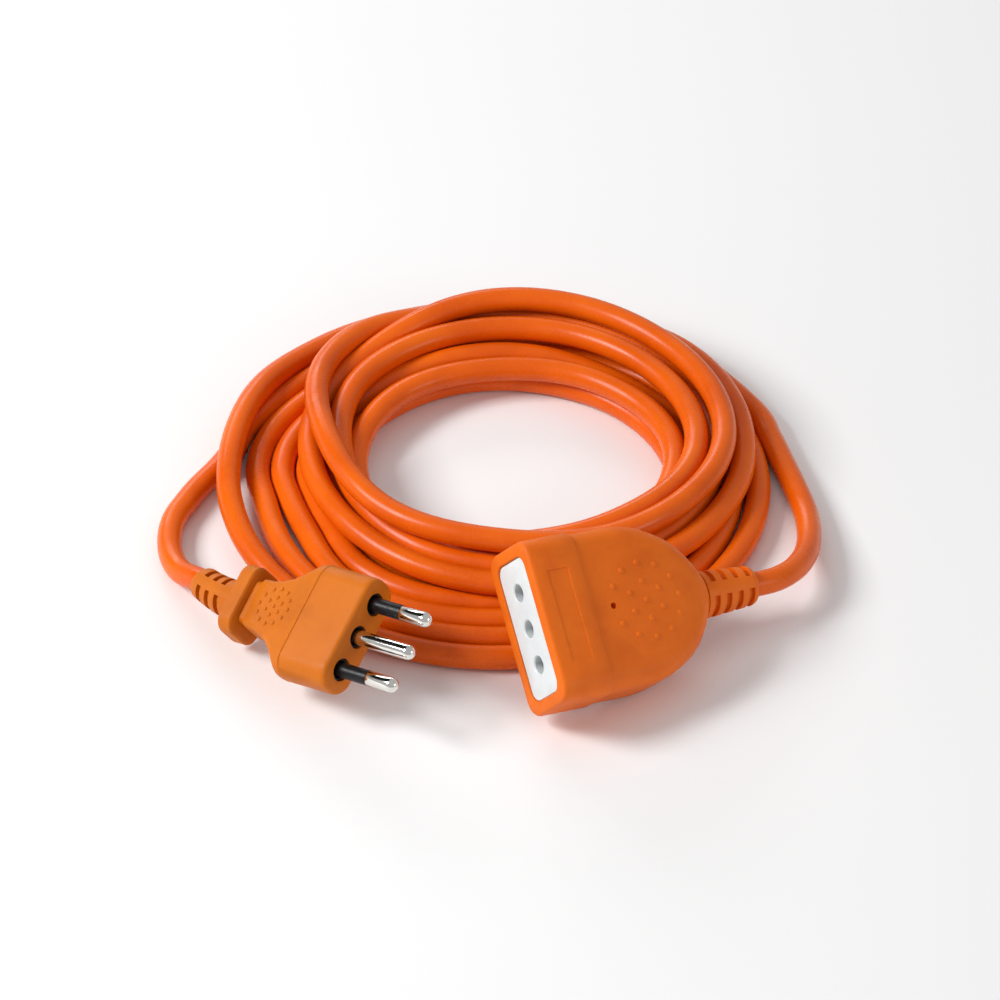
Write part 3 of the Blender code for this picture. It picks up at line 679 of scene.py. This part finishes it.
# (x, half width, half thickness, corner), from the mating face back.
PLUG_SECTIONS = (
    (0.0, 15.1, 5.1, 4.4),
    (-0.25, 15.6, 5.6, 4.85),
    (-0.8, 15.93, 5.93, 5.15),
    (-2.0, 16.0, 6.0, 5.2),
    (-15.7, 16.0, 6.0, 5.2),
    (-15.85, 16.0, 6.22, 5.2),
    (-16.15, 16.0, 6.22, 5.2),
    (-17.3, 15.93, 5.78, 5.05),
    (-17.8, 15.85, 5.74, 5.0),
    (-18.6, 15.2, 5.7, 4.6),
    (-20.0, 13.4, 5.64, 3.7),
    (-22.0, 11.1, 5.5, 2.9),
    (-24.5, 9.1, 5.3, 2.3),
    (-27.0, 7.9, 5.15, 2.0),
    (-30.0, 7.1, 5.05, 1.9),
    (-32.9, 6.8, 5.0, 1.7),
    (-33.15, 6.6, 4.85, 1.6),
    (-33.3, 6.1, 4.35, 1.6),
    (-35.4, 6.1, 4.35, 1.6),
    (-35.6, 8.9, 5.8, 3.4),
    (-35.75, 9.3, 6.2, 3.7),
    (-36.1, 9.6, 6.5, 3.9),
    (-39.7, 9.6, 6.5, 3.9),
    (-40.05, 9.35, 6.25, 3.7),
    (-40.2, 9.0, 5.9, 3.5),
)


def plug_top_at(x):
    """How far out the plug's broad side is there."""
    for near, far in zip(PLUG_SECTIONS, PLUG_SECTIONS[1:]):
        if far[0] <= x <= near[0]:
            share = (near[0] - x) / (near[0] - far[0])
            return near[2] + share * (far[2] - near[2])
    return PLUG_SECTIONS[-1][2]


def make_plug_body(look):
    """The orange moulding, with a round hole for each of the carrier's bosses."""
    bm = bmesh.new()
    loft(bm, PLUG_SECTIONS, steps=8)
    body = new_piece("plug_body_moulding", bm, PLUG, look, sharp=30)
    boss = ((1.0, 0.0), (1.0, 3.02), (-3.9, 3.02), (-3.9, 0.0))
    cut_away(body, row_of_drills(PLUG, boss))
    return body


def make_plug_dots(look):
    """Grip dots on both broad sides, in two circles round one."""
    bm = bmesh.new()
    for up in (1, -1):
        for x, y in dot_circles(-25.7, 2.5, 5.0):
            dome(bm, x, y, up * (plug_top_at(x) - 0.05), 0.62, 0.5, up)
    return new_piece("plug_grip_dots", bm, PLUG, look)


def make_plug_carrier(look):
    """The black plate that holds the pins, with a boss round each that ends just below the face."""
    bm = bmesh.new()
    eased, full = (13.2, 4.0, 3.6), (13.4, 4.2, 3.8)
    loft(bm, ((-4.0, *eased), (-4.3, *full), (-11.2, *full), (-11.5, *eased)))
    boss = (
        (-4.05, 2.3),
        (-4.05, 2.95),
        (-0.85, 2.95),
        (-0.62, 2.9),
        (-0.5, 2.75),
        (-0.5, 2.45),
        (-0.7, 2.32),
        (-4.05, 2.3),
    )
    for y in PIN_ROW:
        spun(bm, boss, 36, y)
    return new_piece("plug_pin_carrier_moulding", bm, PLUG, look)


PIN_RADIUS, SLEEVED_RADIUS = 2.0, 1.35
PIN_ROOT = -17.0
# Where a sleeved pin grows to its full width again, just past the end of its sleeve.
PIN_SHOULDER = 9.62
PIN_CROWN = (
    (16.9, PIN_RADIUS),
    (17.25, 1.96),
    (17.7, 1.84),
    (18.15, 1.62),
    (18.5, 1.33),
    (18.78, 0.95),
    (18.94, 0.5),
    (19.0, 0.0),
)


def make_pin(name, y, sleeved, look):
    """A turned pin with a crowned tip. A sleeved one is thinner as far as its shoulder."""
    if sleeved:
        profile = [(PIN_ROOT, 0.0), (PIN_ROOT, SLEEVED_RADIUS), (PIN_SHOULDER, SLEEVED_RADIUS)]
        profile += [(PIN_SHOULDER, 1.92), (PIN_SHOULDER + 0.12, PIN_RADIUS)]
    else:
        profile = [(PIN_ROOT, 0.0), (PIN_ROOT, PIN_RADIUS), (-1.0, PIN_RADIUS)]
    profile += PIN_CROWN
    bm = bmesh.new()
    spun(bm, profile, 40, y)
    return new_piece(name, bm, PLUG, look)


def make_sleeve(name, y, look):
    """The black tube round the root of a live pin, with a rounded front end."""
    bore, outside = 1.42, 1.98
    root, end = -6.0, 9.6
    profile = (
        (root, bore),
        (root, outside),
        (9.35, outside),
        (9.52, 1.93),
        (end, 1.82),
        (end, bore),
        (root, bore),
    )
    bm = bmesh.new()
    spun(bm, profile, 40, y)
    return new_piece(name, bm, PLUG, look)


# ---------------------------------------------------------------- socket

# (x, half width, half thickness, corner), from the bottom of the recess forward to the face and then back.
SOCKET_SECTIONS = (
    (-21.0, 17.9, 7.6, 3.2),
    (-0.35, 17.9, 7.6, 3.2),
    (0.0, 18.15, 7.85, 3.4),
    (0.0, 20.7, 10.3, 4.3),
    (-0.2, 21.05, 10.65, 4.6),
    (-0.6, 21.3, 10.9, 4.75),
    (-1.1, 21.4, 11.0, 4.8),
    (-13.8, 21.4, 11.0, 4.8),
    (-14.0, 21.3, 10.9, 4.75),
    (-14.15, 20.95, 10.35, 4.5),
    (-14.5, 20.9, 10.25, 4.5),
    (-26.0, 20.9, 10.3, 4.5),
    (-30.0, 20.4, 10.2, 4.6),
    (-34.0, 19.4, 10.0, 4.8),
    (-38.0, 17.6, 9.7, 5.2),
    (-41.0, 15.9, 9.4, 5.4),
    (-43.5, 14.0, 9.0, 5.7),
    (-45.5, 12.0, 8.6, 6.0),
    (-47.2, 10.0, 8.1, 6.3),
    (-48.5, 8.2, 7.5, 6.6),
    (-49.4, 7.0, 6.9, 6.6),
    (-50.0, 6.3, 6.3, 6.1),
)


def make_socket_body(look):
    """The orange moulding, with a small blind dimple on its upper side and a plain sunk panel on each side of
    its front band."""
    bm = bmesh.new()
    loft(bm, SOCKET_SECTIONS, steps=8)
    body = new_piece("socket_body_moulding", bm, SOCKET, look, sharp=30)
    bm = bmesh.new()
    dimple = bmesh.ops.create_cone(
        bm, cap_ends=True, segments=24, radius1=0.75 * MM, radius2=1.0 * MM, depth=4.0 * MM
    )
    for v in dimple["verts"]:
        v.co += Vector((-20.3, 0.0, 10.6)) * MM
    for side in (1, -1):
        add_panel(bm, side)
    cut_away(body, as_tool(bm, SOCKET))
    return body


def add_panel(bm, side):
    """A thin cutter with sloping edges, 0.16 mm into that broad side of the front band."""
    middle, band = -7.2, 11.0
    rings = []
    for height, half_length, half_width in ((0.6, 12.4, 3.25), (-0.16, 12.0, 2.95)):
        made = bmesh.ops.create_grid(bm, x_segments=1, y_segments=1, size=1.0)
        reach = max(v.co.x for v in made["verts"])
        for v in made["verts"]:
            x, y = v.co.x / reach * half_width, v.co.y / reach * half_length
            v.co = Vector((middle + x, y, side * (band + height))) * MM
        face = made["verts"][0].link_faces[0]
        rings.append(list(face.edges))
    bmesh.ops.bridge_loops(bm, edges=rings[0] + rings[1])


def make_socket_dots(look):
    """Grip dots on both broad sides, without the one that would stand on the upper side's dimple."""
    bm = bmesh.new()
    for up in (1, -1):
        for x, y in dot_circles(-30.1, 4.9, 9.8):
            if up == 1 and x > -21:
                continue
            dome(bm, x, y, up * (socket_top_at(x, y) - 0.1), 0.92, 0.46, up)
    return new_piece("socket_grip_dots", bm, SOCKET, look)


def socket_top_at(x, y):
    """How far out the socket's broad side is there: flat in the middle, falling away at the corners."""
    for near, far in zip(SOCKET_SECTIONS[7:], SOCKET_SECTIONS[8:]):
        if far[0] <= x <= near[0]:
            share = (near[0] - x) / (near[0] - far[0])
            half_width, top, corner = (near[k] + share * (far[k] - near[k]) for k in (1, 2, 3))
            over = max(0.0, abs(y) - (half_width - corner))
            return top - corner + math.sqrt(max(0.0, corner**2 - over**2))
    return SOCKET_SECTIONS[-1][2]


def make_face_insert(look):
    """The white face: a cup, open at the back, whose floor is the face, with three bevelled holes in it."""
    bm = bmesh.new()
    front = ((-0.85, 17.8, 7.5, 3.1), (-0.52, 17.68, 7.38, 3.0), (-0.4, 17.4, 7.1, 2.8))
    loft(bm, ((-20.0, 17.8, 7.5, 3.1), *front))
    insert = new_piece("socket_face_insert", bm, SOCKET, look, sharp=30)
    bm = bmesh.new()
    pocket = (16.8, 6.4, 0.3)
    loft(bm, ((-2.8, *pocket), (-22.0, *pocket)))
    cut_away(insert, as_tool(bm, SOCKET))
    hole = ((0.5, 0.0), (0.5, 2.62), (-0.38, 2.62), (-0.72, 2.3), (-3.6, 2.3), (-3.6, 0.0))
    cut_away(insert, row_of_drills(SOCKET, hole))
    return insert


def make_shutter_spring(look):
    """A coil of wire along Y, between its post and the end of its slot."""
    bm = bmesh.new()
    turns, steps_a_turn = 7, 20
    x, start, z = -4.4, -1.33, 4.4
    length, radius, wire_radius = 8.36, 0.8, 0.17
    wire = bmesh.ops.create_circle(bm, cap_ends=True, segments=8, radius=wire_radius * MM)
    for v in wire["verts"]:
        v.co = Vector((x + radius, start, z)) * MM + Vector((v.co.x, 0, v.co.y))
    bmesh.ops.spin(
        bm,
        geom=list(bm.verts) + list(bm.edges) + list(bm.faces),
        cent=Vector((x, start, z)) * MM,
        axis=(0, 1, 0),
        dvec=Vector((0, length / (turns * steps_a_turn), 0)) * MM,
        angle=2 * math.pi * turns,
        steps=turns * steps_a_turn,
        use_merge=False,
    )
    return new_piece("shutter_return_spring", bm, SOCKET, look, sharp=60)


# ---------------------------------------------------------------- studio


def soft_light(name, place, aim, size, power):
    """A white rectangular light, in metres and watts."""
    data = bpy.data.lights.new(name, "AREA")
    data.shape, data.size, data.size_y = "RECTANGLE", size[0], size[1]
    data.energy = power
    light = bpy.data.objects.new(name, data)
    light.location = place
    light.rotation_euler = (Vector(aim) - Vector(place)).to_track_quat("-Z", "Y").to_euler()
    bpy.context.scene.collection.objects.link(light)


def make_floor():
    bm = bmesh.new()
    bmesh.ops.create_grid(bm, x_segments=1, y_segments=1, size=4.0)
    mesh = bpy.data.meshes.new("studio_floor")
    bm.to_mesh(mesh)
    bm.free()
    look = Finish("pale_floor_paper")
    look.colour(look.ramp(look.noise(3, 2), (0.3, (0.88, 0.88, 0.88)), (0.7, (0.9, 0.9, 0.9))))
    look.set(Roughness=0.7)
    mesh.materials.append(look.material)
    floor = bpy.data.objects.new("studio_floor", mesh)
    bpy.context.scene.collection.objects.link(floor)


def make_room():
    """A pale studio with a dark panel high at the back left, which gives bright metal a dark band."""
    panel_way = (-0.577, 0.567, 0.587)
    # How closely a direction has to match the panel's: from its soft edge inwards.
    panel_edge, panel_inside = 0.86, 0.93
    room_strength, panel_strength = 0.5, 0.01
    world = bpy.data.worlds.new("studio_world")
    bpy.context.scene.world = world
    world.use_nodes = True
    tree = world.node_tree
    direction = tree.nodes.new("ShaderNodeTexCoord")
    facing = tree.nodes.new("ShaderNodeVectorMath")
    facing.operation = "DOT_PRODUCT"
    facing.inputs[1].default_value = panel_way
    fade = tree.nodes.new("ShaderNodeMapRange")
    fade.inputs["From Min"].default_value = panel_edge
    fade.inputs["From Max"].default_value = panel_inside
    fade.inputs["To Min"].default_value = room_strength
    fade.inputs["To Max"].default_value = panel_strength
    tree.links.new(direction.outputs["Generated"], facing.inputs[0])
    tree.links.new(facing.outputs["Value"], fade.inputs["Value"])
    tree.links.new(fade.outputs["Result"], tree.nodes["Background"].inputs["Strength"])
    tree.nodes["Background"].inputs["Color"].default_value = (1.0, 1.0, 1.0, 1.0)


def make_studio():
    make_floor()
    make_room()
    soft_light("key_softbox", place=(-0.85, -0.15, 0.75), aim=(0, 0, 0.01), size=(0.4, 0.4), power=11.0)
    soft_light("back_softbox", place=(-0.35, 1.0, 0.5), aim=(0, 0.02, 0), size=(0.6, 0.3), power=2.6)
    soft_light("right_softbox", place=(0.9, -0.55, 0.45), aim=(0, 0, 0.01), size=(0.4, 0.3), power=1.6)
    bpy.context.scene.view_settings.view_transform = "Standard"


# ---------------------------------------------------------------- put together

set_camera()
cord = make_cord()

# The plug's orange is a darker copy of the socket's: painted shade, which offsets the stronger light that falls
# on the plug.
plug_pvc_painted_shade = orange_overmould(
    "orange_plug_moulding_painted_shade", (0.52, 0.122, 0.001), (0.57, 0.138, 0.001), (0.61, 0.15, 0.002), 0.5
)
socket_pvc = orange_overmould(
    "orange_socket_moulding", (0.70, 0.12, 0.001), (0.76, 0.138, 0.002), (0.80, 0.152, 0.003), 0.5
)
jacket = orange_jacket("orange_cord_jacket")
black_carrier = black_moulding("black_pin_carrier", 0.45)
black_sleeve = black_moulding("black_pin_sleeve", 0.36)
nickel = nickel_plate("bright_nickel_plate")
white = white_moulding("white_face_moulding")
spring_wire = bright_metal("drawn_spring_wire", (0.42, 0.42, 0.43), (0.62, 0.62, 0.62), 0.25)
cord.data.materials.append(jacket)


def stand_in(piece, slot, *nodes):
    """The piece rides on the lead and shows in place of those CAD nodes."""
    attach(piece, "lead")
    if nodes:
        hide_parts(*nodes)
    return piece


stand_in(cord, "orange_cord_pvc", "cord_coil", "cord_plug_lead", "cord_connector_lead")

plug_relief = ribbed_relief(
    "plug_relief_sleeve",
    PLUG,
    plug_pvc_painted_shade,
    PLUG_RELIEF_START,
    PLUG_RELIEF_LENGTH,
    radii=(5.5, 4.3),
    slots=(4.4, 3.55, 1.6, 1.1, 3),
    spigot=(4.3, 3.5),
    bent=relief_bend,
)
plug_pieces = [
    stand_in(make_plug_body(plug_pvc_painted_shade), "orange_plug_pvc", "plug_body"),
    stand_in(plug_relief, "orange_plug_pvc", "plug_strain_relief"),
    stand_in(make_plug_dots(plug_pvc_painted_shade), "orange_plug_pvc"),
    stand_in(make_plug_carrier(black_carrier), "black_carrier", "plug_pin_carrier"),
]
for name, y in zip(NAMES, PIN_ROW):
    pin = make_pin("plug_contact_pin_" + name, y, name != "earth", nickel)
    plug_pieces.append(stand_in(pin, "nickel_plated_brass", "plug_pin_" + name))
    if name != "earth":
        sleeve = make_sleeve("plug_insulating_sleeve_" + name, y, black_sleeve)
        plug_pieces.append(stand_in(sleeve, "black_sleeve", "plug_sleeve_" + name))
    plug_pieces += [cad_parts["plug_core_" + name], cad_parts["plug_strands_" + name]]

stand_in(make_socket_body(socket_pvc), "orange_socket_pvc", "connector_body")
stand_in(make_socket_dots(socket_pvc), "orange_socket_pvc")
socket_relief = ribbed_relief(
    "socket_relief_sleeve",
    SOCKET,
    socket_pvc,
    SOCKET_RELIEF_START,
    SOCKET_RELIEF_START - SOCKET_RELIEF_END,
    radii=(6.3, 5.1),
    slots=(2.4, 3.6, 1.6, 1.2, 4),
    spigot=(4.6, 4.3),
)
stand_in(socket_relief, "orange_socket_pvc", "connector_strain_relief")
stand_in(make_face_insert(white), "white_insert", "connector_face_insert")
spring = stand_in(make_shutter_spring(spring_wire), "spring_steel", "connector_shutter_spring")
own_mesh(spring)

inner_looks = {
    "connector_contact_block": grey_moulding("grey_contact_block", (0.42, 0.42, 0.41), (0.55, 0.55, 0.54)),
    "connector_shutter": grey_moulding("grey_shutter_plate", (0.14, 0.145, 0.14), (0.23, 0.235, 0.23)),
}
copper = bright_metal("bare_copper_strands", (0.55, 0.24, 0.12), (0.78, 0.42, 0.26), 0.25, 3000)
brass = bright_metal("pressed_contact_brass", (0.55, 0.38, 0.12), (0.74, 0.56, 0.24), 0.22)
cores = {
    "line": core_insulation("brown_core", (0.075, 0.028, 0.012), (0.11, 0.045, 0.02)),
    "earth": striped_insulation("green_yellow_core"),
    "neutral": core_insulation("blue_core", (0.01, 0.07, 0.32), (0.02, 0.12, 0.45)),
}
for name in NAMES:
    inner_looks["connector_contact_" + name] = brass
    for end in ("plug", "connector"):
        inner_looks[f"{end}_core_{name}"] = cores[name]
        inner_looks[f"{end}_strands_{name}"] = copper
for node, look in inner_looks.items():
    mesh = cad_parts[node].data
    mesh.materials.clear()
    mesh.materials.append(look)

make_studio()
